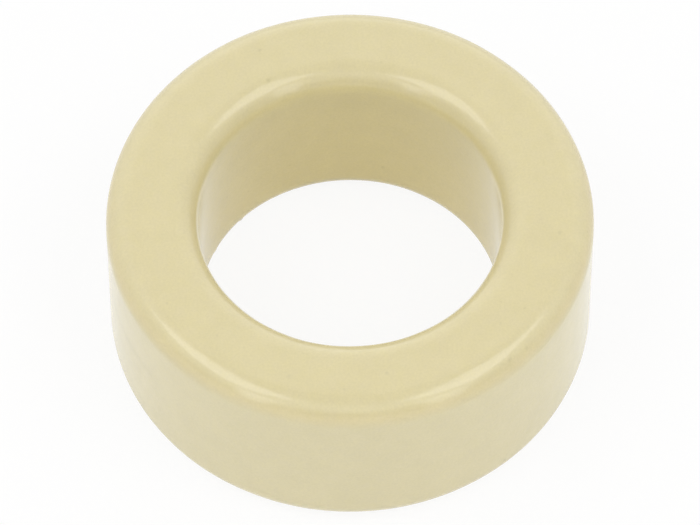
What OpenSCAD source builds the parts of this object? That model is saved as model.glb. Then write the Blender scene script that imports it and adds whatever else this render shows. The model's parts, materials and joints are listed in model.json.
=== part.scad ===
// Ferrite toroid core with a glossy coat.
// A ring pressed and fired in one piece, its edges rounded, under an even coat that covers all of it.
// The ring lies flat: Z runs up along its bore, and its lower face is at Z = 0.

/* [Fired ring] */
// Outer diameter of the bare ring, before it is coated
ring_d = 36; // [26:0.1:44]
// Radial thickness of the bare ring, from its bore to its outside
ring_wall = 6.4; // [5:0.1:9]
// Height of the bare ring
ring_h = 14.8; // [6:0.1:20]
// Radius of the bare ring's outer edges, above and below
outer_edge_r = 1.65; // [0.4:0.05:2.2]
// Radius of the bare ring's two bore edges
bore_edge_r = 1.7; // [0.4:0.05:2.2]

/* [Coat] */
// Thickness of the coat, the same on every surface
coat_t = 0.25; // [0.05:0.05:0.5]

/* [Hidden] */

// Finished sizes, measured over the coat
outer_r = ring_d / 2 + coat_t;
bore_r = ring_d / 2 - ring_wall - coat_t;
height = ring_h + 2 * coat_t;

// The coat follows the edges, so it adds its own thickness to their radius
outer_round_r = outer_edge_r + coat_t;
bore_round_r = bore_edge_r + coat_t;

coat_colour = [0.89, 0.84, 0.68];
arc_steps = 180;
// How far a cut runs past the face that it starts from
past_face = 1;

// What a round of radius r takes off a square corner that stands at the origin, between +X and +Y
module corner_waste(r) {
    difference() {
        translate([-past_face, -past_face]) square(r + past_face);
        translate([r, r]) circle(r);
    }
}

// The two rounds at the foot of the section: the bore's edge and the outer edge
module foot_waste() {
    translate([bore_r, 0]) corner_waste(bore_round_r);
    translate([outer_r, 0]) mirror([1, 0]) corner_waste(outer_round_r);
}

// Half of the ring's cross-section, with its straight walls, flat faces and four rounded edges
module ring_section() {
    difference() {
        translate([bore_r, 0]) square([outer_r - bore_r, height]);
        foot_waste();
        translate([0, height]) mirror([0, 1]) foot_waste();
    }
}

// The whole core: one solid, turned about the bore's axis
module toroid_core() {
    color(coat_colour)
        rotate_extrude($fn = arc_steps) ring_section($fn = arc_steps);
}

toroid_core();
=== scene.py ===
import json
import math

import bpy
from mathutils import Matrix, Vector, noise


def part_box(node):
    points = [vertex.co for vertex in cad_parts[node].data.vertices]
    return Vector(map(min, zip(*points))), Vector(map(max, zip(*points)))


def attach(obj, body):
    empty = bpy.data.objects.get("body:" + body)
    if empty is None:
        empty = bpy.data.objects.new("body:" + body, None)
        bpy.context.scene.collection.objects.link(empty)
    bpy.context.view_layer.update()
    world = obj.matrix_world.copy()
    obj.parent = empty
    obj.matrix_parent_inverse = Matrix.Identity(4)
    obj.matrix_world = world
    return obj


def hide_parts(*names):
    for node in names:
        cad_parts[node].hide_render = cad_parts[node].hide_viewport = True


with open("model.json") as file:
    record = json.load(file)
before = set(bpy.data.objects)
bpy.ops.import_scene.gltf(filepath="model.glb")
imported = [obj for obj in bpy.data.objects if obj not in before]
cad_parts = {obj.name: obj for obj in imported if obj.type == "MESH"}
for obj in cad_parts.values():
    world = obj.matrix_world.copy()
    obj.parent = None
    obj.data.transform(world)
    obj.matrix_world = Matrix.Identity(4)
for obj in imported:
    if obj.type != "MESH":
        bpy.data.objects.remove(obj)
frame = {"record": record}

scene = bpy.context.scene
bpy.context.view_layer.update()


# ring's sizes, read from the frame

def readRing():
    low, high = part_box("toroid_core")
    mounts = {mount["name"]: mount for mount in frame["record"]["mounts"]}
    height = high.z - low.z
    return {
        "foot": low.z,
        "height": height,
        "outerRadius": (high.x - low.x) / 2,
        "boreRadius": mounts["bore"]["dims"]["r_mm"] / 1000,
        # what the straight walls leave above and below them is the edge rounds
        "outerRound": (height - mounts["rim"]["dims"]["length_mm"] / 1000) / 2,
        "boreRound": (height - mounts["bore"]["dims"]["length_mm"] / 1000) / 2,
    }


ring = readRing()
print("ring read from the frame, mm:", {name: round(value * 1000, 3) for name, value in ring.items()})


# node helpers

def link(tree, fromNode, outName, toNode, inName):
    tree.links.new(fromNode.outputs[outName], toNode.inputs[inName])


def addNode(tree, kind, label, **values):
    node = tree.nodes.new(kind)
    node.label = label
    for name, value in values.items():
        setattr(node, name, value)
    return node


def addNoise(tree, coords, label, size, detail):
    node = addNode(tree, "ShaderNodeTexNoise", label)
    node.inputs["Scale"].default_value = 1 / size  # size is one lump's width in metres
    node.inputs["Detail"].default_value = detail
    link(tree, coords, "Object", node, "Vector")
    return node


def addRamp(tree, source, outName, low, high, toLow, toHigh, label, soft=False):
    node = addNode(tree, "ShaderNodeMapRange", label)
    if soft:
        node.interpolation_type = "SMOOTHSTEP"
    node.inputs["From Min"].default_value = low
    node.inputs["From Max"].default_value = high
    node.inputs["To Min"].default_value = toLow
    node.inputs["To Max"].default_value = toHigh
    link(tree, source, outName, node, "Value")
    return node


def addDistance(tree, source, outName, place, label):
    node = addNode(tree, "ShaderNodeVectorMath", label, operation="DISTANCE")
    node.inputs[1].default_value = place
    link(tree, source, outName, node, 0)
    return node


def addChange(tree, coords, label, size, change, spread, detail):
    # a share near 1 that strays by up to change, where the noise strays by up to spread from its middle
    lumps = addNoise(tree, coords, label, size, detail)
    return addRamp(tree, lumps, "Fac", 0.5 - spread, 0.5 + spread, 1 - change, 1 + change, label + " share")


def shadeBy(tree, shade, keeps, label):
    # the shade so far, times the share that it keeps here
    after = addNode(tree, "ShaderNodeMath", label, operation="MULTIPLY")
    link(tree, shade, 0, after, 0)
    link(tree, keeps, 0, after, 1)
    return after


# coated ring's mesh

ringMesh = {
    "around": 720,  # steps round the ring
    "flat": 14,  # steps across each flat face
    "wall": 22,  # steps up each straight wall
    "round": 15,  # steps over each edge round
    "swell": (0.0040, 10e-6),  # long waves of the coat: lump width, depth
    "peel": (0.0010, 12e-6),  # orange peel: lump width, depth
    "streaks": (0.0060, 0.0006, 10e-6),  # streaks round the ring: length, width across, depth
    "ripples": (0.0055, 0.0006, 75e-6),  # the same, over the edge rounds alone
    "shifts": (50, 90),  # steps through the noise, so that no two patterns of streaks are the same
    # nibs that stand on the coat and pits that go into it: place on the ring, width, height, all in mm
    "nibs": [
        ((-8.35, 7.92, 1.19), 0.20, 0.050),
        ((-10.29, 4.95, 1.44), 0.20, 0.045),
        ((11.58, -14.11, 1.92), 0.16, -0.030),
    ],
    "nibReach": 3,  # widths from its middle at which a nib has faded out
}


def ringProfile(values):
    # points and outward normals of the section, once round it: (radius, z, normal out, normal up)
    foot = ring["foot"]
    top = foot + ring["height"]
    outer, bore = ring["outerRadius"], ring["boreRadius"]
    outerRound, boreRound = ring["outerRound"], ring["boreRound"]
    points = []

    def addLine(start, end, normal, count):
        for step in range(1, count):
            share = step / count
            points.append((start[0] + (end[0] - start[0]) * share,
                           start[1] + (end[1] - start[1]) * share, *normal))

    def addRound(centre, radius, firstAngle):
        for step in range(values["round"] + 1):
            angle = math.radians(firstAngle + 90 * step / values["round"])
            out, up = math.cos(angle), math.sin(angle)
            points.append((centre[0] + radius * out, centre[1] + radius * up, out, up))

    addLine((outer, foot + outerRound), (outer, top - outerRound), (1, 0), values["wall"])
    addRound((outer - outerRound, top - outerRound), outerRound, 0)
    addLine((outer - outerRound, top), (bore + boreRound, top), (0, 1), values["flat"])
    addRound((bore + boreRound, top - boreRound), boreRound, 90)
    addLine((bore, top - boreRound), (bore, foot + boreRound), (-1, 0), values["wall"])
    addRound((bore + boreRound, foot + boreRound), boreRound, 180)
    addLine((bore + boreRound, foot), (outer - outerRound, foot), (0, -1), values["flat"])
    addRound((outer - outerRound, foot + outerRound), outerRound, 270)
    return points


def lump(point):
    return 0.5 + 0.5 * noise.noise(point)  # from 0 to 1


def coatDepth(point, out, up, values):
    # how far the coat's skin lies under the true form, in metres
    depth = 0.0
    for width, reach in (values["swell"], values["peel"]):
        depth += reach * lump(point / width)
    radius = math.hypot(point.x, point.y)
    turn = Vector((point.x, point.y, 0)) / radius * ring["outerRadius"]  # carried out to the outer wall
    secondShift, rippleShift = values["shifts"]
    length, across, reach = values["streaks"]
    for height in (point.z / across, radius / across + secondShift):
        depth += reach / 2 * lump(turn / length + Vector((0, 0, height)))
    # over a round the ripples are strongest half way, and they fade out to the wall and the face
    length, across, reach = values["ripples"]
    height = (point.z - math.copysign(radius, out)) / across + rippleShift
    depth += reach * abs(out * up) * lump(turn / length + Vector((0, 0, height)))
    for place, width, height in values["nibs"]:
        apart = (point - Vector(place) / 1000).length / (width / 1000)
        if apart < values["nibReach"]:
            depth -= height / 1000 * math.exp(-apart * apart)
    return depth


def buildRing(values):
    profile = ringProfile(values)
    count = len(profile)
    verts = []
    for turn in range(values["around"]):
        angle = math.tau * turn / values["around"]
        side = Vector((math.cos(angle), math.sin(angle), 0))
        for radius, z, out, up in profile:
            point = side * radius + Vector((0, 0, z))
            normal = side * out + Vector((0, 0, up))
            verts.append(point - normal * coatDepth(point, out, up, values))
    faces = []
    for turn in range(values["around"]):
        here = turn * count
        there = (turn + 1) % values["around"] * count
        for step in range(count):
            after = (step + 1) % count
            faces.append((here + step, there + step, there + after, here + after))
    mesh = bpy.data.meshes.new("coatedRing")
    mesh.from_pydata(verts, [], faces)
    mesh.shade_smooth()
    mesh.update()
    piece = bpy.data.objects.new("coatedRing", mesh)
    scene.collection.objects.link(piece)
    return piece


coatedRing = buildRing(ringMesh)
print("ring mesh:", len(coatedRing.data.polygons) * 2, "triangles")


# cream epoxy coat, with painted bounce light in the bore, painted reflection on the outer wall and painted
# shade along the outer edge

coat = {
    "colour": (0.750, 0.667, 0.3965),
    "boreColourWithPaintedBounce": (0.778, 0.690, 0.379),  # painted bounce light: deeper and more saturated inside the bore
    "wallColourWithPaintedReflection": (0.738, 0.662, 0.407),  # painted reflection: a little greyer on the outer wall, like the white floor seen in its gloss
    "boreBlend": (0.18, 0),  # where the painted bounce colour of the bore starts and is full, as shares of the edge round
    "wallBlend": (0.13, 0.04),  # the same for the painted reflection on the outer wall
    # painted shade: a deeper, more yellow line along the outer edge round, where it reflects little light:
    # degrees up the round, its reach, the share of each colour kept
    "edge": (26, 0.0010, (0.985, 0.965, 0.935)),
    "roughness": 0.14,
    "ior": 1.5,
    # lump width, how much it changes the colour, how far the noise strays for that, and the noise's detail
    "grain": (0.00018, 0.026, 0.25, 1),
    "mottle": (0.0022, 0.014, 0.20, 2),
    "yellow": (0.0006, 0.022, 0.20, 2),  # changes blue alone
    "bump": (0.00035, 0.9e-6, 2),  # finest relief: lump width, height, the noise's detail
    # specks in the coat: place on the ring and reach in mm, how much darker the middle is
    "specks": [
        ((-13.51, -8.46, 15.3), 0.17, 0.075),
        ((2.54, 11.07, 3.64), 0.27, 0.085),
        ((-9.34, 6.47, 6.60), 0.20, 0.095),
        ((-6.81, 14.08, 15.3), 0.22, 0.080),
        ((-6.66, 14.14, 15.3), 0.16, 0.040),
        ((-6.11, 11.37, 15.25), 0.28, 0.105),
        ((2.67, -14.59, 15.3), 0.23, 0.078),
        ((-0.47, -15.95, 15.3), 0.19, 0.075),
        ((11.73, -13.17, 14.78), 0.29, 0.095),
        ((13.00, -12.10, 14.65), 0.24, 0.075),
        ((12.87, -9.01, 15.3), 0.18, 0.068),
        ((-17.63, -4.70, 8.73), 0.26, 0.085),
        ((-1.18, 11.30, 11.23), 0.19, 0.048),
        ((2.40, 12.94, 15.3), 0.18, 0.062),
        ((14.21, -1.21, 15.3), 0.22, 0.035),
        ((15.62, -2.37, 15.3), 0.30, 0.070),
        ((-4.48, -14.82, 15.3), 0.33, 0.048),
        ((-1.39, -18.20, 10.02), 0.20, 0.048),
        ((11.08, -10.31, 15.3), 0.19, 0.045),
        ((11.58, -14.11, 1.92), 0.26, 0.120),
    ],
    # faint dark run round the wall, in mm: its middle, its reach each way, its reach up and down, how dark
    "run": ((-16.26, -8.29, 8.6), 4.6, 0.90, 0.042),
    "strays": (0.0032, 0.00016, 0.06),  # rare small specks all over: mean spacing, reach, how much darker
}


def addSpeck(tree, coords, shade, place, reach, darker):
    # darkens the shade so far inside a soft ball round the place
    apart = addDistance(tree, coords, "Object", Vector(place) / 1000, "from the speck")
    keeps = addRamp(tree, apart, "Value", 0, reach / 1000, 1 - darker, 1, "speck", soft=True)
    return shadeBy(tree, shade, keeps, "shade with the speck")


def addStrays(tree, coords, shade, spacing, reach, darker):
    cells = addNode(tree, "ShaderNodeTexVoronoi", "stray specks")
    cells.inputs["Scale"].default_value = 1 / spacing
    link(tree, coords, "Object", cells, "Vector")
    keeps = addRamp(tree, cells, "Distance", 0, reach / spacing, 1 - darker, 1, "stray", soft=True)
    return shadeBy(tree, shade, keeps, "shade with the strays")


def addRun(tree, coords, section, shade, middle, length, reach, darker):
    # darkens along a line of one height, less and less away from its middle
    centre = Vector(middle) / 1000
    line = (math.hypot(centre.x, centre.y), 0, centre.z)
    across = addDistance(tree, section, "Vector", line, "up or down from the run")
    along = addDistance(tree, coords, "Object", centre, "from the run's middle")
    acrossShare = addRamp(tree, across, "Value", 0, reach / 1000, darker, 0, "run across", soft=True)
    alongShare = addRamp(tree, along, "Value", 0, length / 1000, -1, 0, "run along", soft=True)
    keeps = addNode(tree, "ShaderNodeMath", "run", operation="MULTIPLY_ADD")  # across times along, plus 1
    keeps.inputs[2].default_value = 1
    link(tree, acrossShare, "Result", keeps, 0)
    link(tree, alongShare, "Result", keeps, 1)
    return shadeBy(tree, shade, keeps, "shade with the run")


def addSectionPlace(tree, coords):
    # place in the ring's section: X is the distance from the axis, Z the height
    flat = addNode(tree, "ShaderNodeVectorMath", "across the axis", operation="MULTIPLY")
    flat.inputs[1].default_value = (1, 1, 0)
    link(tree, coords, "Object", flat, 0)
    radius = addNode(tree, "ShaderNodeVectorMath", "radius", operation="LENGTH")
    link(tree, flat, "Vector", radius, 0)
    split = addNode(tree, "ShaderNodeSeparateXYZ", "height")
    link(tree, coords, "Object", split, 0)
    place = addNode(tree, "ShaderNodeCombineXYZ", "place in the section")
    link(tree, radius, "Value", place, "X")
    link(tree, split, "Z", place, "Z")
    return radius, place


def addMix(tree, share, first, second, label):
    # turns from the first colour to the second, where the first may be another mix
    node = addNode(tree, "ShaderNodeMix", label, data_type="VECTOR")
    firstSocket, secondSocket = 4, 5  # the two sockets that a vector mix uses
    if isinstance(first, bpy.types.Node):
        link(tree, first, 1, node, firstSocket)
    else:
        node.inputs[firstSocket].default_value = first
    node.inputs[secondSocket].default_value = second
    link(tree, share, "Result", node, 0)
    return node


def addCoatColourAndPaintedLight(tree, radius, section, values):
    # the outer colour turns into the painted bounce light of the bore and the painted reflection of the
    # outer wall, and painted shade makes it deeper along the outer edge
    low, full = (ring["boreRadius"] + ring["boreRound"] * share for share in values["boreBlend"])
    inside = addRamp(tree, radius, "Value", low, full, 0, 1, "inside the bore")
    low, full = (ring["outerRadius"] - ring["outerRound"] * share for share in values["wallBlend"])
    outside = addRamp(tree, radius, "Value", low, full, 0, 1, "on the outer wall")
    # painted bounce light: the colour deepens inside the bore
    inner = addMix(tree, inside, values["colour"], values["boreColourWithPaintedBounce"], "coat colour with painted bounce in the bore")
    # painted reflection: the outer wall turns greyer
    blend = addMix(tree, outside, inner, values["wallColourWithPaintedReflection"], "coat colour")

    # painted shade: a deeper line along the outer edge round
    rise, reach, keeps = values["edge"]
    up = math.radians(rise)
    line = (ring["outerRadius"] - ring["outerRound"] * (1 - math.cos(up)), 0,
            ring["foot"] + ring["height"] - ring["outerRound"] * (1 - math.sin(up)))
    apart = addDistance(tree, section, "Vector", line, "from the edge line")
    beside = addRamp(tree, apart, "Value", 0, reach, 0, 1, "beside the edge line", soft=True)
    edge = addMix(tree, beside, keeps, (1, 1, 1), "painted shade along the edge")
    both = addNode(tree, "ShaderNodeVectorMath", "coat colour with painted light by place", operation="MULTIPLY")
    link(tree, blend, 1, both, 0)
    link(tree, edge, 1, both, 1)
    return both


def makeCoat(values):
    material = bpy.data.materials.new("creamCoat")
    material.use_nodes = True
    tree = material.node_tree
    shader = tree.nodes["Principled BSDF"]
    coords = addNode(tree, "ShaderNodeTexCoord", "coords")

    grain = addChange(tree, coords, "grain", *values["grain"])
    mottle = addChange(tree, coords, "mottle", *values["mottle"])
    shade = shadeBy(tree, grain, mottle, "grain and mottle")
    for speck in values["specks"]:
        shade = addSpeck(tree, coords, shade, *speck)
    shade = addStrays(tree, coords, shade, *values["strays"])
    radius, section = addSectionPlace(tree, coords)
    shade = addRun(tree, coords, section, shade, *values["run"])

    yellow = addChange(tree, coords, "yellow", *values["yellow"])
    tint = addNode(tree, "ShaderNodeCombineXYZ", "tint")
    tint.inputs["X"].default_value = 1
    tint.inputs["Y"].default_value = 1
    link(tree, yellow, "Result", tint, "Z")
    # coat colour with the painted bounce light, painted reflection and painted shade by place
    coatColourAndPaintedLight = addCoatColourAndPaintedLight(tree, radius, section, values)
    tinted = addNode(tree, "ShaderNodeVectorMath", "tinted coat", operation="MULTIPLY")
    link(tree, tint, "Vector", tinted, 0)
    link(tree, coatColourAndPaintedLight, "Vector", tinted, 1)
    colour = addNode(tree, "ShaderNodeVectorMath", "shaded coat", operation="SCALE")
    link(tree, tinted, "Vector", colour, 0)
    link(tree, shade, 0, colour, "Scale")
    link(tree, colour, "Vector", shader, "Base Color")

    width, height, detail = values["bump"]
    relief = addNoise(tree, coords, "fine relief", width, detail)
    bump = addNode(tree, "ShaderNodeBump", "relief")
    bump.inputs["Distance"].default_value = height
    link(tree, relief, "Fac", bump, "Height")
    link(tree, bump, "Normal", shader, "Normal")

    shader.inputs["Roughness"].default_value = values["roughness"]
    shader.inputs["IOR"].default_value = values["ior"]
    return material


coatedRing.data.materials.append(makeCoat(coat))
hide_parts("toroid_core")
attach(coatedRing, "root")
print("coat made")


# white table, with an edge that curves up into a low backdrop

table = {
    "flat": 1.5,  # radius of the flat part
    "rim": (0.5, 0.3),  # how far out and how high the curved edge goes
    "around": 96,  # steps round the table
    "rise": 12,  # steps up the curved edge
    "colour": (0.97, 0.97, 0.97, 1),
    "white": 0.89,  # how far it is lifted to plain white where the camera and reflections see it
}


def makeTable(values):
    around, steps = values["around"], values["rise"]
    reach, height = values["rim"]
    verts = [(0, 0, 0)]
    for step in range(steps + 1):
        rise = math.radians(90 * step / steps)
        radius = values["flat"] + reach * math.sin(rise)
        z = height * (1 - math.cos(rise))
        for turn in range(around):
            angle = math.tau * turn / around
            verts.append((radius * math.cos(angle), radius * math.sin(angle), z))
    faces = []
    for turn in range(around):
        after = (turn + 1) % around
        faces.append((0, 1 + turn, 1 + after))
        for step in range(steps):
            inner, outer = 1 + step * around, 1 + (step + 1) * around
            faces.append((inner + turn, outer + turn, outer + after, inner + after))
    mesh = bpy.data.meshes.new("table")
    mesh.from_pydata(verts, [], faces)
    mesh.shade_smooth()
    piece = bpy.data.objects.new("table", mesh)
    scene.collection.objects.link(piece)
    piece.data.materials.append(makeTableTop(values))


def makeTableTop(values):
    material = bpy.data.materials.new("whiteTable")
    material.use_nodes = True
    tree = material.node_tree
    tree.nodes.remove(tree.nodes["Principled BSDF"])
    diffuse = addNode(tree, "ShaderNodeBsdfDiffuse", "table top")
    diffuse.inputs["Color"].default_value = values["colour"]
    white = addNode(tree, "ShaderNodeEmission", "plain white")
    paths = addNode(tree, "ShaderNodeLightPath", "paths")
    seen = addNode(tree, "ShaderNodeMath", "seen or reflected", operation="MAXIMUM")
    link(tree, paths, "Is Camera Ray", seen, 0)
    link(tree, paths, "Is Glossy Ray", seen, 1)
    through = addNode(tree, "ShaderNodeMath", "or seen through", operation="MAXIMUM")
    link(tree, seen, 0, through, 0)
    link(tree, paths, "Is Transmission Ray", through, 1)
    share = addNode(tree, "ShaderNodeMath", "white share", operation="MULTIPLY")
    share.inputs[1].default_value = values["white"]
    link(tree, through, 0, share, 0)
    blend = addNode(tree, "ShaderNodeMixShader", "table or white")
    link(tree, share, 0, blend, 0)
    link(tree, diffuse, 0, blend, 1)
    link(tree, white, 0, blend, 2)
    link(tree, blend, 0, tree.nodes["Material Output"], "Surface")
    return material


makeTable(table)
print("table made")


# studio light

softBoxes = {
    # start and end of each box as directions (azimuth from +X, elevation), its width in degrees and its
    # brightness, where 1 is white
    "leftFoot": ((-126.5, 12), (-129, 42), 12, 2.18),
    "leftMain": ((-133, 50), (166, 58), 28, 2.09),
    "rightFoot": ((-54, 12), (-51, 42), 15, 1.9),
    "rightMain": ((-47, 51), (13, 61), 28, 2.09),
}
boxDistance = 1.0  # metres from the ring to every soft box

tent = {
    "level": 0.712,  # brightness of the white tent all round
    # lighter and darker places on it: azimuth, elevation, how narrow, and what it adds in its middle
    "places": [
        (92.7, -10.1, 3.94, 1.43),  # lit backdrop behind the ring
        (-94.0, -16.1, 1.93, -2.92),  # opening on the camera's side
        (42.4, 83.5, 6.96, -1.47),  # gap overhead
        (-94.9, 43.0, 6.98, 0.34),  # board under the camera
        (-15.3, 52.6, 6.55, 0.39),  # board on the right
        (-101.6, 73.5, 10.33, -0.84),  # gap over the camera
        (-102.5, 60.8, 2.82, 1.44),  # broad board round the camera
    ],
}


def direction(azimuth, elevation):
    turn, rise = math.radians(azimuth), math.radians(elevation)
    return Vector((math.cos(turn) * math.cos(rise), math.sin(turn) * math.cos(rise), math.sin(rise)))


def addSoftBox(name, start, end, width, brightness):
    first, last = direction(*start) * boxDistance, direction(*end) * boxDistance
    centre = (first + last) / 2
    along = (last - first).normalized()
    away = centre.normalized()
    light = bpy.data.lights.new(name, "AREA")
    light.shape = "RECTANGLE"
    light.size = (last - first).length
    light.size_y = 2 * centre.length * math.tan(math.radians(width / 2))
    light.energy = brightness * math.pi * light.size * light.size_y  # the power that makes it that bright
    lamp = bpy.data.objects.new(name, light)
    scene.collection.objects.link(lamp)
    facing = Matrix((along, away.cross(along), away)).transposed().to_4x4()
    lamp.matrix_world = Matrix.Translation(centre) @ facing
    lamp.visible_camera = False


def makeTent(values):
    world = bpy.data.worlds.new("tent")
    scene.world = world
    world.use_nodes = True
    tree = world.node_tree
    background = tree.nodes["Background"]
    background.inputs["Color"].default_value = (1, 1, 1, 1)
    coords = addNode(tree, "ShaderNodeTexCoord", "direction")
    total = None
    for azimuth, elevation, narrow, adds in values["places"]:
        toward = addNode(tree, "ShaderNodeVectorMath", "toward the place", operation="DOT_PRODUCT")
        toward.inputs[1].default_value = direction(azimuth, elevation) * narrow
        link(tree, coords, "Generated", toward, 0)
        middle = addNode(tree, "ShaderNodeMath", "zero in its middle", operation="SUBTRACT")
        middle.inputs[1].default_value = narrow
        link(tree, toward, "Value", middle, 0)
        fall = addNode(tree, "ShaderNodeMath", "soft fall", operation="EXPONENT")
        link(tree, middle, 0, fall, 0)
        added = addNode(tree, "ShaderNodeMath", "tent so far", operation="MULTIPLY_ADD")
        added.inputs[1].default_value = adds
        added.inputs[2].default_value = values["level"]
        link(tree, fall, 0, added, 0)
        if total:
            link(tree, total, 0, added, 2)
        total = added
    level = addNode(tree, "ShaderNodeMath", "never below black", operation="MAXIMUM")
    level.inputs[1].default_value = 0
    link(tree, total, 0, level, 0)
    link(tree, level, 0, background, "Strength")


for boxName, box in softBoxes.items():
    addSoftBox(boxName, *box)
makeTent(tent)
print("lights made")


# camera

cameraView = {
    "aim": (-0.000007, 0, 0.00747),  # the point that it looks at
    "distance": 0.5146,
    "elevation": 57.61,
    "roll": -0.212,
    "lens": 350.7,  # mm, on a sensor 36 mm wide
    "sensor": 36,
    "clip": (0.01, 20),
}


def makeCamera(values):
    data = bpy.data.cameras.new("camera")
    data.lens = values["lens"]
    data.sensor_width = values["sensor"]
    data.clip_start, data.clip_end = values["clip"]
    camera = bpy.data.objects.new("camera", data)
    scene.collection.objects.link(camera)
    rise = math.radians(values["elevation"])
    back = Vector((0, -math.cos(rise), math.sin(rise)))
    tilt = Matrix.Rotation(math.pi / 2 - rise, 4, "X")
    roll = Matrix.Rotation(math.radians(values["roll"]), 4, "Z")
    place = Vector(values["aim"]) + back * values["distance"]
    camera.matrix_world = Matrix.Translation(place) @ tilt @ roll
    scene.camera = camera


makeCamera(cameraView)
scene.view_settings.view_transform = "Standard"
print("camera made")

bpy.context.view_layer.update()
